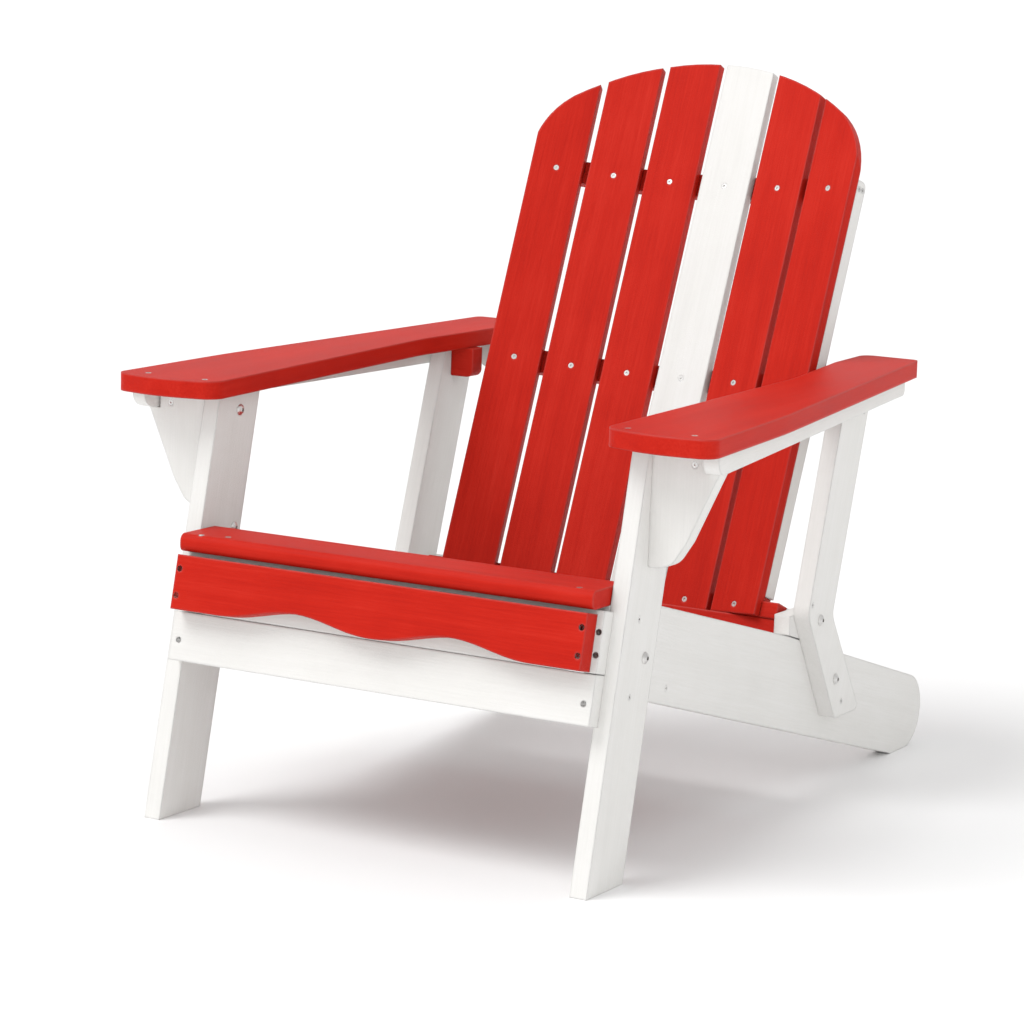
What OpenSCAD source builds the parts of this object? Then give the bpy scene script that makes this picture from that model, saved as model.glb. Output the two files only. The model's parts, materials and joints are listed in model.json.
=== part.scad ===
// Folding garden chair built from solid plastic boards.
// X runs to the sitter's left, Y to the rear and Z up. The origin is on the floor,
// under the middle of the chair's outer box.

/* [Boards] */
// Thickness of every board
board_t = 20; // [18:0.5:21]
// Distance between the inner faces of the front legs
inner_w = 520; // [500:5:540]
// Distance the front legs lean back for each millimetre of height
leg_lean = 0.217; // [0.18:0.005:0.24]
// Width of a front leg, along the floor
leg_w = 79; // [70:1:85]

/* [Seat] */
// Height of the top of the front seat slat
seat_h = 319; // [312:1:322]
// Slats behind the front one
rear_slats = 5; // [4:1:6]
// Depth of the wave cut in the apron's lower edge
apron_wave = 14; // [6:1:18]

/* [Arms] */
// Height of the underside of the arms, at the front of the foot
arm_z = 463; // [455:1:468]
// Rise of the arms for each millimetre towards the rear
arm_rise = 0.0225; // [0.02:0.0005:0.03]
// Thickness of the arm rests
arm_t = 20; // [18:1:22]

/* [Back] */
// Recline of the back from upright, in degrees
recline = 22.2; // [20:0.1:22.5]
// Radius of the hollow in the back, at the rear faces of the slats
back_r = 742; // [735:1:780]
// Thickness of a back slat
slat_t = 13; // [10:1:20]
// Width of a back slat
slat_w = 66; // [60:1:68]
// Number of back slats
back_slats = 6; // [6:1:6]
// Length of the back above its pivot, at the middle
back_len = 667; // [640:1:690]
// Radius of the arch over the top of the back
arch_r = 308; // [300:1:320]

/* [Fasteners] */
// Radius of the pivot bolts of the back
pivot_r = 5; // [4:0.5:6]
// Radius of a bolt's domed head
bolt_head_r = 6.5; // [5:0.5:7]
// Radius of a screw's head
screw_head_r = 3.3; // [3:0.1:4]

/* [Hidden] */
$fn = 48;

red = [0.80, 0.15, 0.11];
white = [0.93, 0.92, 0.90];
steel = [0.75, 0.75, 0.76];

leg_x = inner_w / 2;
rail_x = leg_x - board_t;
box_front = 0;
box_rear = 903;
box_mid = (box_front + box_rear) / 2;

// The side rail: its lower line, its rounded foot and its upper line
foot_r = 46;
foot = [box_rear - foot_r, foot_r];
rail_top_front = seat_h - board_t;
rail_kink = [500, 198];
rail_level_end = 113;

// The back turns about this point, given as [y, z]
pivot = [547, 212];
stile_w = 30;
stile_t = 16;
stile_top = 527;
pivot_depth = 733.6;
slat_turn = 5.73;
slat_fan = 0.2;
slat_foot = -10.5;
back_rows = [0, 267, 512];
row_h = 28;
row_lift = 2.5;
stile_lift = 4.8;
foot_rail = [-11, 13.5];
screw_shank_r = 2;
bolt_r = 4;
fit = 0.05;
corner_steps = 8;

function unit(v) = v / norm(v);
function spin(v, a) = [v.x * cos(a) - v.y * sin(a), v.x * sin(a) + v.y * cos(a)];

// The points that round the corner p between a and b to the radius r
function corner(a, p, b, r) =
  r == 0 ? [p] :
  let (
    u = unit(a - p),
    w = unit(b - p),
    half = acos(u * w) / 2,
    c = p + unit(u + w) * r / sin(half),
    s = p + u * r / tan(half) - c,
    e = p + w * r / tan(half) - c,
    turn = (180 - 2 * half) * sign(s.x * e.y - s.y * e.x)
  )
  [for (i = [0 : corner_steps]) c + spin(s, turn * i / corner_steps)];

// An outline from corners given as [x, y, radius]
function outline(pts) =
  let (n = len(pts))
  [for (i = [0 : n - 1])
    let (a = pts[(i + n - 1) % n], p = pts[i], b = pts[(i + 1) % n])
    each corner([a.x, a.y], [p.x, p.y], [b.x, b.y], p.z)];

function arm_under(y) = arm_z + arm_rise * y;

// Where a line that leans with the front leg, w behind its front, meets the underside of the arm
function leg_top(w) =
  let (z = (arm_z + arm_rise * w) / (1 - arm_rise * leg_lean))
  [leg_lean * z + w, z];
function rail_top(y) =
  let (slope = (rail_top_front - rail_kink.y) / (rail_kink.x - rail_level_end))
  rail_kink.y + (rail_kink.x - y) * slope;

// Everything is drawn from the front leg's foot, then moved over the origin
module place() translate([0, -box_mid, 0]) children();

module side(name) {
  if (name == "left") mirror([1, 0, 0]) children();
  else children();
}

// A board that stands along Y, from its outline in [y, z], its inner face at x
module side_board(x, t) translate([x, 0, 0]) rotate([90, 0, 90]) linear_extrude(t) children();

// A board that faces the front, from its outline in [x, z], its front face at y
module cross_board(y, t) translate([0, y + t, 0]) rotate([90, 0, 0]) linear_extrude(t) children();

// The frame of the leaning front of the legs: local Z runs up the legs, local -Y out of them
module leg_front(z) translate([0, leg_lean * z, z]) rotate([-atan(leg_lean), 0, 0]) children();

// The frame of the arms: local z = 0 is their underside
module arm_frame() translate([0, 0, arm_z]) rotate([atan(arm_rise), 0, 0]) children();

// The frame of the back: origin on the pivot, local Z up the slats, local Y to the rear
module back_frame() translate([0, pivot.x, pivot.y]) rotate([-recline, 0, 0]) children();

// A screw along +Z with its flat head's top at z = 0 and its length below
module screw(len, extra = 0) {
  difference() {
    union() {
      translate([0, 0, -2]) cylinder(r = screw_head_r + extra, h = 2);
      translate([0, 0, -len]) cylinder(r = screw_shank_r + extra, h = len);
    }
    if (extra == 0) translate([0, 0, -1.2]) cylinder(r = 1.5, h = 2, $fn = 6);
  }
}

// A bolt along +Z with a domed head on z = 0 and its length below
module bolt(len, extra = 0, r = bolt_r) {
  difference() {
    union() {
      intersection() {
        translate([0, 0, 4 - bolt_head_r * 1.25]) sphere(r = bolt_head_r * 1.25);
        cylinder(r = bolt_head_r, h = 5);
      }
      translate([0, 0, -len]) cylinder(r = r + extra, h = len + 1);
    }
    if (extra == 0) translate([0, 0, 1]) cylinder(r = 2.4, h = 5, $fn = 6);
  }
}

// Puts a fastener on the face at x of the right side, its head towards +X or -X
module on_side(x, y, z, out = 1) translate([x, y, z]) rotate([0, 90 * out, 0]) children();

// ---- Fastener places, drawn for the right side as [y, z] ----
leg_screw_at = [[92.6, 283], [77.7, 202]];
leg_bolt_at = [108.5, 239];
rear_screw_at = [[524, 233], [617, 104]];
rear_bolt_at = [597, 134];
rear_top_screw_at = [640, 446];
cleat_screw_at = [200, 188];
arm_bolt_at = [141, 445];
inner_bolt_at = [134, 312];
fastener_len = 36;
apron_screw_z = [244.2, 273.2];
apron_screw_x = 252;
strip_screw_z = [247.2, 270.8];
strip_screw_x = leg_x + 1;
lower_screw_z = 196.8;
lower_screw_x = leg_x - 5;
front_slat_screw_at = [[-236, 36], [-207, 45], [236, 40]];
short_screw = 16;

module frame_bolt_set(extra = 0) {
  on_side(leg_x + board_t, leg_bolt_at.x, leg_bolt_at.y) bolt(fastener_len, extra);
  on_side(leg_x + board_t, rear_bolt_at.x, rear_bolt_at.y) bolt(fastener_len, extra);
  on_side(leg_x, arm_bolt_at.x, arm_bolt_at.y, -1) bolt(board_t - 2, extra);
  on_side(leg_x, inner_bolt_at.x, inner_bolt_at.y, -1) bolt(board_t - 2, extra);
}

module frame_screw_set(extra = 0) {
  for (p = concat(leg_screw_at, [rear_screw_at[1]]))
    on_side(leg_x + board_t, p.x, p.y) screw(fastener_len, extra);
  for (p = [rear_screw_at[0], rear_top_screw_at])
    on_side(leg_x + board_t, p.x, p.y) screw(board_t - 2, extra);
  on_side(leg_x, cleat_screw_at.x, cleat_screw_at.y) screw(fastener_len, extra);
}

pivot_bolt_end = 200;
module pivot_bore(extra)
  on_side(leg_x + board_t, pivot.x, pivot.y) bolt(leg_x + board_t - pivot_bolt_end, extra, pivot_r);

// ---- The two sides ----
module side_rail(name) color(white) place() side(name)
  difference() {
    side_board(rail_x, board_t) union() {
      polygon([
        [leg_lean * 182, 182], [157, 181], [818, 0], [foot.x, 0], foot,
        foot + foot_r * [sin(16), cos(16)], rail_kink,
        [rail_level_end, rail_top_front], [leg_lean * rail_top_front, rail_top_front]
      ]);
      translate(foot) circle(r = foot_r, $fn = 96);
    }
    frame_bolt_set(fit);
    frame_screw_set(fit);
    front_screws_at(fit);
  }

module front_leg(name) color(white) place() side(name)
  difference() {
    side_board(leg_x, board_t) polygon(outline([
      [0, 0, 0], [leg_w, 0, 0],
      [leg_top(leg_w).x, leg_top(leg_w).y, 0],
      [leg_top(0).x, leg_top(0).y, 0]
    ]));
    frame_bolt_set(fit);
    frame_screw_set(fit);
  }

// The bent leg that carries the rear of the arm
module rear_leg(name) color(white) place() side(name)
  difference() {
    side_board(leg_x, board_t) polygon(outline([
      [600, 86, 6], [668, 86, 6], [580, 213, 18],
      [661, arm_under(661), 0], [590, arm_under(590), 0], [513, 222, 22]
    ]));
    frame_bolt_set(fit);
    frame_screw_set(fit);
    pivot_bore(fit);
  }

// The tapered bracket that carries the wide front of the arm, notched for the arm rail
bracket_y = 106;
bracket_top = arm_under(bracket_y);
notch_z = bracket_top - 22.4;
module arm_bracket(name) color(white) place() side(name)
  difference() {
    cross_board(bracket_y, board_t) polygon(outline([
      [leg_x + board_t, 336, 3], [306, 338, 24], [324, 366, 40], [359, notch_z, 0],
      [344.4, notch_z, 0], [344.4, bracket_top, 0], [leg_x + board_t, bracket_top, 0]
    ]));
    arm_screws_at(fit);
  }

arm_rail_h = 22;
arm_rail_t = 18;
arm_rail_len = 652;
arm_rail_foot = 78;
arm_rail_angle = atan(0.121);
module arm_rail(name) color(white) place() side(name) arm_frame()
  translate([leg_x + board_t + 0.2, 661, 0]) rotate([0, 0, arm_rail_angle])
  side_board(0, arm_rail_t) translate([arm_rail_foot - arm_rail_len - 8, -arm_rail_h])
  polygon(outline([
    [0, 0, 17], [arm_rail_len, 0, 8], [arm_rail_len, arm_rail_h, 0], [0, arm_rail_h, 0]
  ]));

module arm_screws_at(extra = 0) {
  arm_frame() for (p = [[342, 79], [265, 78]]) translate([p.x, p.y, arm_t]) screw(short_screw, extra);
  translate([330, bracket_y, 450]) rotate([90, 0, 0]) screw(short_screw, extra);
}

module arm_rest(name) color(red) place() side(name)
  difference() {
    arm_frame() linear_extrude(arm_t) polygon(outline([
      [243, 66, 22], [310, 50, 170], [374, 60, 18], [361, 260, 900], [303, 741, 10],
      [231, 741, 14], [231, 660, 60], [249, 510, 260]
    ]));
    arm_screws_at(fit);
  }

// The small red block under the rear of the arm, on the inner face of the rear leg
module arm_block(name) color(red) place() side(name)
  cross_board(602, 22) polygon(outline([
    [229, 441, 9], [leg_x, 441, 2], [leg_x, arm_under(602), 0], [229, arm_under(602), 0]
  ]));

// The white block that the back leans on, with a nose that reaches forward to the stile
stop_y = 674;
stop_x = 198;
nose_y = 654.4;
nose_w = 18;
stop_foot = 446;
nose_foot = 458;
module back_stop(name) color(white) place() side(name) {
  cross_board(stop_y, board_t) polygon(outline([
    [stop_x, stop_foot, 9], [leg_x, stop_foot, 9], [leg_x, arm_under(stop_y), 0], [stop_x, arm_under(stop_y), 0]
  ]));
  cross_board(nose_y, stop_y - nose_y + 1) polygon(outline([
    [stop_x, nose_foot, 4], [stop_x + nose_w, nose_foot, 4],
    [stop_x + nose_w, arm_under(nose_y), 0], [stop_x, arm_under(nose_y), 0]
  ]));
}

// The packing block above the side rail that the pivot bolt passes through
module pivot_block(name) color(white) place() side(name)
  difference() {
    side_board(rail_x, board_t)
      polygon([
        [507, pivot.y + 8], [507, 197.3], [582, 175.6], [582, pivot.y + 8]
      ]);
    pivot_bore(fit);
  }

// ---- The front ----
apron_t = 22;
board_half = leg_x + 5;
apron_half = leg_x - 3;
lower_foot = 174.4;
lower_h = 54.4;
upper_foot = 228.5;
upper_h = 66;
apron_foot = 229.3;
apron_h = 60.5;

module front_screws_at(extra = 0)
  for (s = [-1, 1]) {
    leg_front(lower_screw_z) translate([s * lower_screw_x, -board_t, 0])
      rotate([90, 0, 0]) screw(fastener_len, extra);
    for (z = strip_screw_z)
      leg_front(z) translate([s * strip_screw_x, -board_t, 0])
        rotate([90, 0, 0]) screw(short_screw, extra);
    for (z = apron_screw_z)
      leg_front(z) translate([s * apron_screw_x, -board_t - apron_t, 0])
        rotate([90, 0, 0]) screw(fastener_len, extra);
  }

module front_lower_board() color(white) place()
  difference() {
    leg_front(lower_foot) translate([-board_half, -board_t, 0]) cube([2 * board_half, board_t, lower_h]);
    front_screws_at(fit);
  }

module front_upper_board() color(white) place()
  difference() {
    leg_front(upper_foot) translate([-board_half, -board_t, 0]) cube([2 * board_half, board_t, upper_h]);
    front_screws_at(fit);
  }

// The wave has its crests halfway out each side and comes back down at the middle
wave_w = 196;
function wave(x) = abs(x) >= wave_w ? 0 : apron_wave * (1 - cos(360 * x / wave_w)) / 2;
module front_apron() color(red) place()
  difference() {
    leg_front(apron_foot) translate([0, -board_t, 0]) rotate([90, 0, 0]) linear_extrude(apron_t)
      polygon(concat(
        [[-apron_half, apron_h], [-apron_half, 0]],
        [for (x = [-wave_w : 10 : wave_w]) [x, wave(x)]],
        [[apron_half, 0], [apron_half, apron_h]]
      ));
    front_screws_at(fit);
  }

// ---- The seat ----
seat_drop = 14;
cleat_h = 22;
cleat_t = 16;
rear_start = 108;
rear_end = 476;
slat_gap = 9;
rear_pitch = (rear_end - rear_start + slat_gap) / rear_slats;
seat_angle = atan((rail_top(rear_start) - rail_top(rear_end)) / (rear_end - rear_start));
front_slat_y = [28, 97];

// The frame of the sloping seat: local z = 0 is the top of its slats
module seat_frame()
  translate([0, rear_start, rail_top(rear_start) - seat_drop]) rotate([-seat_angle, 0, 0]) children();

module seat_screws_at(extra = 0) {
  for (p = front_slat_screw_at) translate([p.x, p.y, seat_h]) screw(short_screw, extra);
  for (s = [-1, 1], i = [0 : rear_slats - 1])
    seat_frame() translate([s * (rail_x - cleat_t / 2), (i + 0.5) * rear_pitch / cos(seat_angle) - 4, 0])
      screw(30, extra);
}

module seat_slat(n) color(red) place()
  difference() {
    if (n == 1)
      translate([-leg_x + 1, 0, 0]) side_board(0, inner_w - 2)
        polygon(outline([
          [front_slat_y[0], rail_top_front, 7], [front_slat_y[0], seat_h, 8],
          [front_slat_y[1], seat_h, 3], [front_slat_y[1], rail_top_front, 3]
        ]));
    else
      seat_frame() translate([1 - rail_x, (n - 2) * rear_pitch / cos(seat_angle), -board_t])
        cube([2 * rail_x - 2, (rear_pitch - slat_gap) / cos(seat_angle), board_t]);
    seat_screws_at(fit);
  }

module seat_cleat(name) color(white) place() side(name)
  difference() {
    seat_frame() translate([rail_x - cleat_t, 0, -board_t - cleat_h])
      cube([cleat_t, (rear_end - rear_start) / cos(seat_angle), cleat_h]);
    seat_screws_at(fit);
    frame_screw_set(fit);
  }

// ---- The back, drawn in its own frame ----
// Turns a piece about the axis of the back's hollow
module around(a) translate([0, -pivot_depth, 0]) rotate([0, 0, -a]) translate([0, back_r, 0]) children();

function slat_step(n) = n - (back_slats + 1) / 2;

// The frame of back slat n, whose rear face lies at local y = 0; the slats fan out a little upwards
module slat_frame(n) around(slat_step(n) * slat_turn) rotate([0, slat_step(n) * slat_fan, 0]) children();

module each_end() for (m = [0, 1]) mirror([m, 0, 0]) children();

module slat_screws_at(extra = 0)
  for (n = [1 : back_slats], u = back_rows)
    slat_frame(n) translate([0, -slat_t, u]) rotate([90, 0, 0]) screw(slat_t + 14, extra);

stile_x = slat_w / 2 - stile_w;
module stile_screws_at(extra = 0)
  each_end() for (u = [back_rows[1], back_rows[2]], d = [-3.5, 3.5])
    slat_frame(back_slats) translate([slat_w / 2, stile_t / 2 + d, u + stile_lift])
      rotate([0, 90, 0]) screw(44, extra);

// The outline of the back's arched top and rounded shoulders, cut through all the slats
arch_half = 220.5;
arch_corner = 100;
shoulder_z = back_len - arch_r + sqrt(arch_r * arch_r - arch_half * arch_half);
module arch()
  rotate([90, 0, 0]) translate([0, 0, -200]) linear_extrude(400) polygon(outline(concat(
    [[218, slat_foot - 5, 0], [arch_half, shoulder_z, arch_corner]],
    [for (a = [36.3 : -3.3 : -36.3]) [arch_r * sin(a), back_len - arch_r + arch_r * cos(a), 0]],
    [[-arch_half, shoulder_z, arch_corner], [-218, slat_foot - 5, 0]]
  )));

// The room that the slats need in the rails behind them
module slat_room(z, h)
  for (n = [1 : back_slats])
    slat_frame(n) translate([-slat_w / 2 - 0.5, -board_t, z]) cube([slat_w + 1, board_t + 0.02, h]);

module back_slat(n) color(n == 4 ? white : red) place() back_frame()
  difference() {
    intersection() {
      slat_frame(n) translate([-slat_w / 2, -slat_t, slat_foot])
        cube([slat_w, slat_t, back_len - slat_foot + 1]);
      arch();
    }
    slat_screws_at(fit);
  }

// A ring cut to the hollow of the back
module hollow_ring(z, h) translate([0, -pivot_depth, z])
  difference() {
    cylinder(r = back_r + stile_t, h = h, $fn = 360);
    translate([0, 0, -1]) cylinder(r = back_r, h = h + 2, $fn = 360);
  }

// A rail between the stiles, flat where the slats lie on it
module back_rail(row) color(red) place() back_frame()
  let (z = back_rows[row] + row_lift - row_h / 2)
  difference() {
    intersection() {
      hollow_ring(z, row_h);
      translate([-leg_x, -60, z - 1]) cube([2 * leg_x, 120, row_h + 2]);
    }
    slat_room(z - 1, row_h + 2);
    each_end() slat_frame(back_slats)
      translate([stile_x - fit, -board_t, z - 10]) cube([80, 80, row_h + 20]);
    slat_screws_at(fit);
    stile_screws_at(fit);
  }

// The lowest rail, whose thick ends turn on the pivot bolts
foot_rail_half = leg_x - board_t - 3.5;
foot_ring_half = 216;
foot_end_h = 19;
foot_end_x = 195;
foot_end_y = [-27, 12];
foot_rail_h = foot_rail[1] - foot_rail[0];
module lower_back_rail() color(red) place()
  difference() {
    back_frame() difference() {
      union() {
        intersection() {
          hollow_ring(foot_rail[0], foot_rail_h);
          translate([-foot_ring_half, -60, foot_rail[0] - 1])
            cube([2 * foot_ring_half, 120, foot_rail_h + 2]);
        }
        each_end() translate([foot_end_x, foot_end_y[0], foot_rail[0]])
          cube([foot_rail_half - foot_end_x, foot_end_y[1] - foot_end_y[0], foot_end_h]);
      }
      slat_room(foot_rail[0] - 1, foot_rail_h + 2);
      slat_screws_at(fit);
    }
    for (s = ["left", "right"]) side(s) pivot_bore(fit);
  }

module back_stile(name) color(white) place() side(name) back_frame()
  difference() {
    slat_frame(back_slats) translate([stile_x, 0.02, 0]) rotate([90, 0, 90]) linear_extrude(stile_w)
      polygon(outline([
        [0, foot_rail[1] + 0.7, 0], [stile_t - 0.02, foot_rail[1] + 0.7, 0],
        [stile_t - 0.02, stile_top, 8], [0, stile_top, 0]
      ]));
    stile_screws_at(fit);
    slat_screws_at(fit);
  }

// The red board under the slats' feet
module back_toe_board() color(red) place() back_frame()
  translate([-rail_x + 1, -25, foot_rail[0] - 26]) cube([2 * rail_x - 2, board_t, 26]);

// ---- Fasteners ----
module pivot_bolt(name) color(steel) place() side(name) pivot_bore(0);

module pivot_spacers() color(steel) place()
  for (s = ["left", "right"]) side(s)
    on_side(rail_x, pivot.x, pivot.y) translate([0, 0, -3]) difference() {
      cylinder(r = 8, h = 3);
      translate([0, 0, -1]) cylinder(r = pivot_r + fit, h = 5);
    }

module frame_bolts() color(steel) place() for (s = ["left", "right"]) side(s) frame_bolt_set();
module frame_screws() color(steel) place() for (s = ["left", "right"]) side(s) frame_screw_set();
module front_board_screws() color(steel) place() front_screws_at();
module seat_screws() color(steel) place() seat_screws_at();
module back_slat_screws() color(steel) place() back_frame() slat_screws_at();
module stile_screws() color(steel) place() back_frame() stile_screws_at();

module arm_screws() color(steel) place() for (s = ["left", "right"]) side(s) arm_screws_at();

side_rail("left");  // left_side_rail
side_rail("right");  // right_side_rail
front_leg("left");  // left_front_leg
front_leg("right");  // right_front_leg
rear_leg("left");  // left_rear_leg
rear_leg("right");  // right_rear_leg
arm_bracket("left");  // left_arm_bracket
arm_bracket("right");  // right_arm_bracket
arm_rail("left");  // left_arm_rail
arm_rail("right");  // right_arm_rail
arm_rest("left");  // left_arm_rest
arm_rest("right");  // right_arm_rest
arm_block("left");  // left_arm_block
arm_block("right");  // right_arm_block
back_stop("left");  // left_back_stop
back_stop("right");  // right_back_stop
pivot_block("left");  // left_pivot_block
pivot_block("right");  // right_pivot_block
front_lower_board();
front_upper_board();
front_apron();
seat_slat(1);  // seat_slat_1
seat_slat(2);  // seat_slat_2
seat_slat(3);  // seat_slat_3
seat_slat(4);  // seat_slat_4
seat_slat(5);  // seat_slat_5
seat_slat(6);  // seat_slat_6
seat_cleat("left");  // left_seat_cleat
seat_cleat("right");  // right_seat_cleat
back_slat(1);  // back_slat_1
back_slat(2);  // back_slat_2
back_slat(3);  // back_slat_3
back_slat(4);  // back_slat_4
back_slat(5);  // back_slat_5
back_slat(6);  // back_slat_6
back_rail(2);  // upper_back_rail
back_rail(1);  // middle_back_rail
lower_back_rail();
back_stile("left");  // left_back_stile
back_stile("right");  // right_back_stile
back_toe_board();
pivot_bolt("left");  // left_pivot_bolt
pivot_bolt("right");  // right_pivot_bolt
pivot_spacers();
frame_bolts();
frame_screws();
front_board_screws();
arm_screws();
seat_screws();
back_slat_screws();
stile_screws();
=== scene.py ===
"""Folding garden chair of solid plastic boards: looks, light and camera around the CAD frame."""
import json
import math

import bpy
from mathutils import Matrix, Vector

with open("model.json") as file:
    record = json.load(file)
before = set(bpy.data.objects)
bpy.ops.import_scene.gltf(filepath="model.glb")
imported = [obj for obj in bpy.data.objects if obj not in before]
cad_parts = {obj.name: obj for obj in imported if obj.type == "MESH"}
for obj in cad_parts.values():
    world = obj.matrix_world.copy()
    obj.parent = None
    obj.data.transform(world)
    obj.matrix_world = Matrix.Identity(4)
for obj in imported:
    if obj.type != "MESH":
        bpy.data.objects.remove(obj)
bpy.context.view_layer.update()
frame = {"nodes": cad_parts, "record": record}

# ---- Directions that the boards' grain follows ----
RECLINE = math.radians(22.2)
LEG_LEAN = math.atan(0.217)
RAIL_SLOPE = math.atan(0.274)
REAR_LEG_LEAN = math.atan(0.32)
GRAIN = {
    "across": (1.0, 0.0, 0.0),
    "along": (0.0, 1.0, 0.03),
    "back": (0.0, math.sin(RECLINE), math.cos(RECLINE)),
    "leg": (0.0, math.sin(LEG_LEAN), math.cos(LEG_LEAN)),
    "rail": (0.0, math.cos(RAIL_SLOPE), -math.sin(RAIL_SLOPE)),
    "rear_leg": (0.0, math.sin(REAR_LEG_LEAN), math.cos(REAR_LEG_LEAN)),
    "upright": (0.0, 0.0, 1.0),
}

RED_DEEP = (0.47, 0.010, 0.004)
RED = (0.56, 0.015, 0.006)
RED_PALE = (0.64, 0.027, 0.014)
WHITE_DEEP = (0.79, 0.78, 0.755)
WHITE = (0.83, 0.82, 0.795)
WHITE_PALE = (0.87, 0.86, 0.845)
STEEL_DEEP = (0.58, 0.57, 0.56)
STEEL_PALE = (0.80, 0.79, 0.77)
BOUNCE = (0.30, 0.29, 0.28)      # the neutral colour that red boards throw onto what is beside them
BOUNCE_SHARE = 0.75
RED_ROUGHNESS = 0.47
WHITE_ROUGHNESS = 0.46

EASED = 0.0036         # radius of the boards' eased edges, in metres
FINE = 0.0011          # height of the brushed grain, in metres
PEBBLE = 0.0006        # height of the moulded surface's fine pebble
GRAIN_SQUEEZE = 0.035  # how far the grain's pattern is drawn out along the board
STREAK_SCALE = 420.0
BAND_SCALE = 60.0
MOTTLE_SCALE = 9.0
PEBBLE_SCALE = 900.0
STEEL_GRAIN_SCALE = 1500.0
STEEL_BLOTCH_SCALE = 120.0

# ---- Light, in the frame's metres ----
WORLD_STRENGTH = 0.78
KEY_FROM = (-0.42, -0.50, 0.95)
KEY_ENERGY = 1.45
KEY_SPREAD = math.radians(34)
FILL_FROM = (2.6, -2.8, 1.2)
FILL_AT = (0.0, 0.0, 0.35)
FILL_SIZE = (1.5, 1.5)
FILL_POWER = 5.0
FLOOR_HALF = 200.0

# ---- Camera ----
EYE = Vector((1.9722, -3.6238, 1.0053))
AIM = Vector((0.0333, -0.2015, 0.3483))
ROLL = math.radians(2.09)
SENSOR = 36.0
FOCAL_RATIO = 3.501    # focal length as a multiple of the sensor's width


class Nodes:
    """A short way to build one material's node tree."""

    def __init__(self, name):
        self.material = bpy.data.materials.new(name)
        self.material.use_nodes = True
        self.tree = self.material.node_tree
        self.tree.nodes.clear()

    def add(self, kind, **values):
        node = self.tree.nodes.new(kind)
        for key, value in values.items():
            setattr(node, key, value)
        return node

    def link(self, a, b):
        self.tree.links.new(a, b)

    def math(self, operation, a, b=None, c=None):
        node = self.add("ShaderNodeMath", operation=operation)
        for socket, value in zip(node.inputs, (a, b, c)):
            if value is None:
                continue
            if isinstance(value, (int, float)):
                socket.default_value = value
            else:
                self.link(value, socket)
        return node.outputs[0]

    def noise(self, vector, scale, detail=4.0, roughness=0.6):
        node = self.add("ShaderNodeTexNoise")
        node.inputs["Scale"].default_value = scale
        node.inputs["Detail"].default_value = detail
        node.inputs["Roughness"].default_value = roughness
        self.link(vector, node.inputs["Vector"])
        return node.outputs["Fac"]

    def ramp(self, factor, stops):
        node = self.add("ShaderNodeValToRGB")
        elements = node.color_ramp.elements
        while len(elements) < len(stops):
            elements.new(0.5)
        for element, (place, colour) in zip(elements, stops):
            element.position = place
            element.color = (*colour, 1.0)
        self.link(factor, node.inputs["Fac"])
        return node.outputs["Color"]

    def blend(self, factor, a, b):
        node = self.add("ShaderNodeMix", data_type="RGBA")
        self.link(factor, node.inputs["Factor"])
        self.link(a, node.inputs["A"])
        node.inputs["B"].default_value = (*b, 1.0)
        return node.outputs["Result"]

    def along(self, direction, squeeze):
        """Object coordinates, squeezed along the grain so that the pattern is drawn out."""
        unit = Vector(direction).normalized()
        place = self.add("ShaderNodeTexCoord").outputs["Object"]
        dot = self.add("ShaderNodeVectorMath", operation="DOT_PRODUCT")
        self.link(place, dot.inputs[0])
        dot.inputs[1].default_value = unit
        scale = self.add("ShaderNodeVectorMath", operation="SCALE")
        scale.inputs[0].default_value = unit
        self.link(self.math("MULTIPLY", dot.outputs["Value"], squeeze - 1.0), scale.inputs["Scale"])
        total = self.add("ShaderNodeVectorMath", operation="ADD")
        self.link(place, total.inputs[0])
        self.link(scale.outputs[0], total.inputs[1])
        return place, total.outputs[0]


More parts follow.
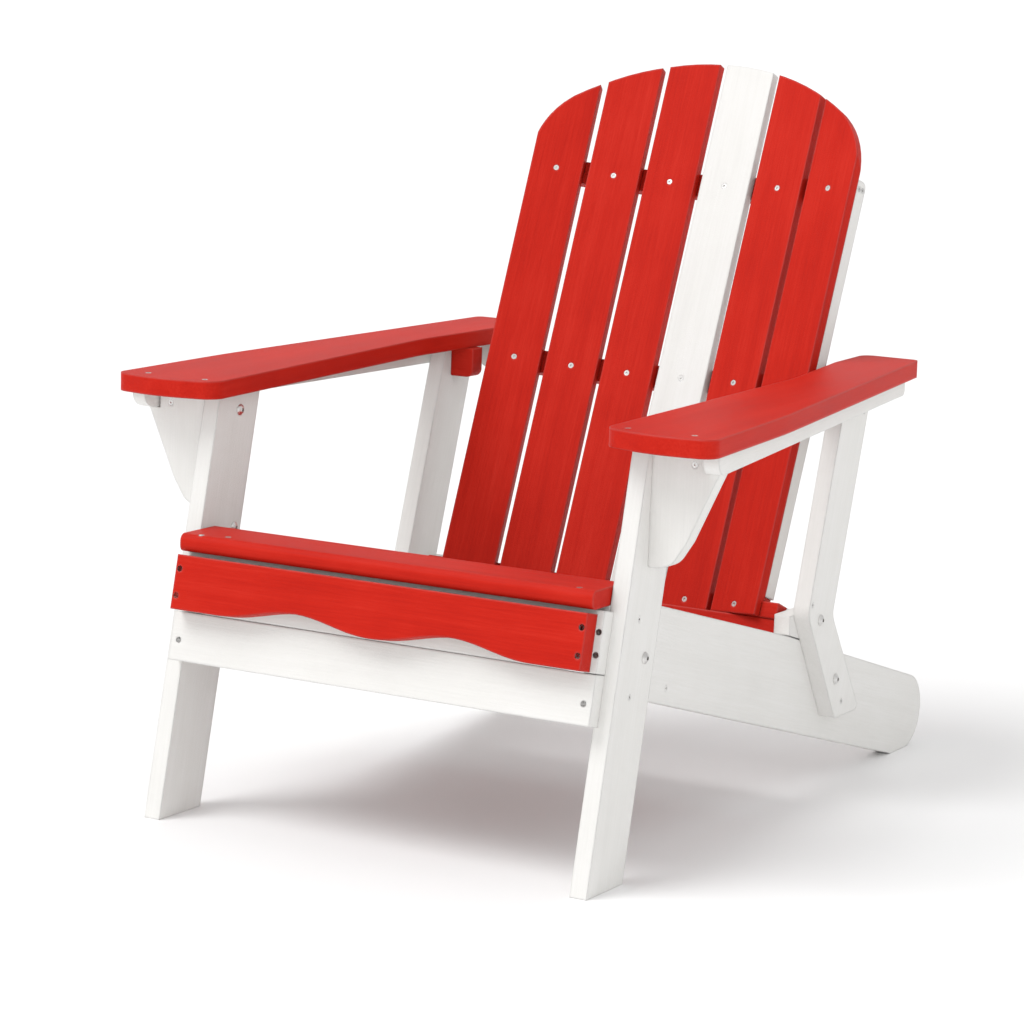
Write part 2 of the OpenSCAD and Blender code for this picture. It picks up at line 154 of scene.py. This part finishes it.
def board_material(name, slot, direction, deep, middle, pale, roughness):
    n = Nodes(name)
    place, grain = n.along(direction, GRAIN_SQUEEZE)
    streaks = n.noise(grain, STREAK_SCALE, 6.0, 0.72)
    wide = n.noise(grain, BAND_SCALE, 3.0, 0.5)
    mottle = n.noise(place, MOTTLE_SCALE, 4.0, 0.55)
    pebble = n.noise(place, PEBBLE_SCALE, 2.0, 0.5)
    broad = n.math("MULTIPLY_ADD", wide, 0.28, n.math("MULTIPLY", mottle, 0.32))
    mix = n.math("MULTIPLY_ADD", streaks, 0.40, broad)
    colour = n.ramp(mix, ((0.34, deep), (0.50, middle), (0.68, pale)))
    # the boards' eased edges, and the slightly paler wear along them
    eased = n.add("ShaderNodeBevel", samples=6)
    eased.inputs["Radius"].default_value = EASED
    flat = n.add("ShaderNodeNewGeometry").outputs["True Normal"]
    turn = n.add("ShaderNodeVectorMath", operation="DOT_PRODUCT")
    n.link(eased.outputs[0], turn.inputs[0])
    n.link(flat, turn.inputs[1])
    wear = n.ramp(turn.outputs["Value"], ((0.90, (1, 1, 1)), (0.995, (0, 0, 0))))
    edge = n.blend(n.math("MULTIPLY", wear, n.math("MULTIPLY", mottle, 0.6)), colour, pale)
    bounce = n.math("MULTIPLY", n.add("ShaderNodeLightPath").outputs["Is Diffuse Ray"], BOUNCE_SHARE)
    shader = n.add("ShaderNodeBsdfPrincipled")
    n.link(n.blend(bounce, edge, BOUNCE if slot == "red_board" else pale), shader.inputs["Base Color"])
    rough = n.math("MULTIPLY_ADD", streaks, 0.16, n.math("MULTIPLY_ADD", mottle, 0.08, roughness - 0.12))
    n.link(rough, shader.inputs["Roughness"])
    shader.inputs["IOR"].default_value = 1.5
    sheen = n.math("MULTIPLY_ADD", wear, 0.5, 0.10 if slot == "red_board" else 0.20)
    n.link(sheen, shader.inputs["Specular IOR Level"])
    height = n.math("ADD", n.math("MULTIPLY", streaks, FINE), n.math("MULTIPLY", pebble, PEBBLE))
    bump = n.add("ShaderNodeBump")
    bump.inputs["Strength"].default_value = 0.45
    bump.inputs["Distance"].default_value = 1.0
    n.link(height, bump.inputs["Height"])
    n.link(eased.outputs[0], bump.inputs["Normal"])
    n.link(bump.outputs[0], shader.inputs["Normal"])
    out = n.add("ShaderNodeOutputMaterial")
    n.link(shader.outputs[0], out.inputs["Surface"])
    return n.material


def steel_material():
    n = Nodes("stainless_steel")
    place = n.add("ShaderNodeTexCoord").outputs["Object"]
    grain = n.noise(place, STEEL_GRAIN_SCALE, 3.0, 0.6)
    blotch = n.noise(place, STEEL_BLOTCH_SCALE, 2.0, 0.5)
    shader = n.add("ShaderNodeBsdfPrincipled")
    colour = n.ramp(blotch, ((0.3, STEEL_DEEP), (0.7, STEEL_PALE)))
    n.link(colour, shader.inputs["Base Color"])
    n.link(n.math("MULTIPLY_ADD", grain, 0.2, 0.2), shader.inputs["Roughness"])
    shader.inputs["Metallic"].default_value = 1.0
    bump = n.add("ShaderNodeBump")
    bump.inputs["Strength"].default_value = 0.3
    bump.inputs["Distance"].default_value = 0.0002
    n.link(grain, bump.inputs["Height"])
    n.link(bump.outputs[0], shader.inputs["Normal"])
    out = n.add("ShaderNodeOutputMaterial")
    n.link(shader.outputs[0], out.inputs["Surface"])
    return n.material


def grain_of(name):
    if name.startswith("back_slat") or name.endswith("stile"):
        return "back"
    if name.endswith("front_leg"):
        return "leg"
    if name.endswith("rear_leg"):
        return "rear_leg"
    if name.endswith(("side_rail", "seat_cleat", "pivot_block")):
        return "rail"
    if name.endswith(("arm_rest", "arm_rail")):
        return "along"
    if name.endswith("arm_bracket"):
        return "upright"
    return "across"


boards = {}


def board(slot, grain):
    key = slot + "_" + grain
    if key not in boards:
        if slot == "red_board":
            boards[key] = board_material(
                key, slot, GRAIN[grain], RED_DEEP, RED, RED_PALE, RED_ROUGHNESS)
        else:
            boards[key] = board_material(
                key, slot, GRAIN[grain], WHITE_DEEP, WHITE, WHITE_PALE, WHITE_ROUGHNESS)
    return boards[key]


def dress():
    slots = {row["node"]: row["material_slot"] for row in frame["record"]["subparts"]}
    metal = steel_material()
    for name, obj in frame["nodes"].items():
        obj.data.materials.clear()
        if slots[name] == "steel":
            obj.data.materials.append(metal)
            continue
        obj.data.materials.append(board(slots[name], grain_of(name)))


def stage():
    floor_mesh = bpy.data.meshes.new("floor")
    half = FLOOR_HALF
    edge_points = [(-half, -half, 0), (half, -half, 0), (half, half, 0), (-half, half, 0)]
    floor_mesh.from_pydata(edge_points, [], [(0, 1, 2, 3)])
    floor = bpy.data.objects.new("floor", floor_mesh)
    bpy.context.collection.objects.link(floor)
    n = Nodes("floor_white")
    shader = n.add("ShaderNodeBsdfPrincipled")
    shader.inputs["Base Color"].default_value = (0.96, 0.96, 0.96, 1.0)
    shader.inputs["Roughness"].default_value = 0.75
    out = n.add("ShaderNodeOutputMaterial")
    n.link(shader.outputs[0], out.inputs["Surface"])
    floor_mesh.materials.append(n.material)


def area_light(name, place, target, size, power):
    data = bpy.data.lights.new(name, "AREA")
    data.shape = "RECTANGLE"
    data.size, data.size_y = size
    data.energy = power
    lamp = bpy.data.objects.new(name, data)
    back = Vector(place) - Vector(target)
    lamp.matrix_world = Matrix.Translation(place) @ back.to_track_quat("Z", "Y").to_matrix().to_4x4()
    bpy.context.collection.objects.link(lamp)


def light():
    world = bpy.data.worlds.new("studio")
    bpy.context.scene.world = world
    world.use_nodes = True
    background = world.node_tree.nodes["Background"]
    background.inputs["Color"].default_value = (1.0, 1.0, 1.0, 1.0)
    background.inputs["Strength"].default_value = WORLD_STRENGTH
    data = bpy.data.lights.new("key", "SUN")
    data.energy = KEY_ENERGY
    data.angle = KEY_SPREAD
    key = bpy.data.objects.new("key", data)
    back = Vector(KEY_FROM)
    key.matrix_world = back.to_track_quat("Z", "Y").to_matrix().to_4x4()
    bpy.context.collection.objects.link(key)
    area_light("fill", FILL_FROM, FILL_AT, FILL_SIZE, FILL_POWER)


def camera():
    forward = (AIM - EYE).normalized()
    level = forward.cross(Vector((0, 0, 1))).normalized()
    plumb = level.cross(forward)
    right = math.cos(ROLL) * level + math.sin(ROLL) * plumb
    up = -math.sin(ROLL) * level + math.cos(ROLL) * plumb
    data = bpy.data.cameras.new("camera")
    data.sensor_width = SENSOR
    data.lens = SENSOR * FOCAL_RATIO
    data.clip_end = 100.0
    cam = bpy.data.objects.new("camera", data)
    turn = Matrix((right, up, -forward)).transposed().to_4x4()
    cam.matrix_world = Matrix.Translation(EYE) @ turn
    bpy.context.collection.objects.link(cam)
    bpy.context.scene.camera = cam


dress()
stage()
light()
camera()
bpy.context.scene.view_settings.view_transform = "Standard"
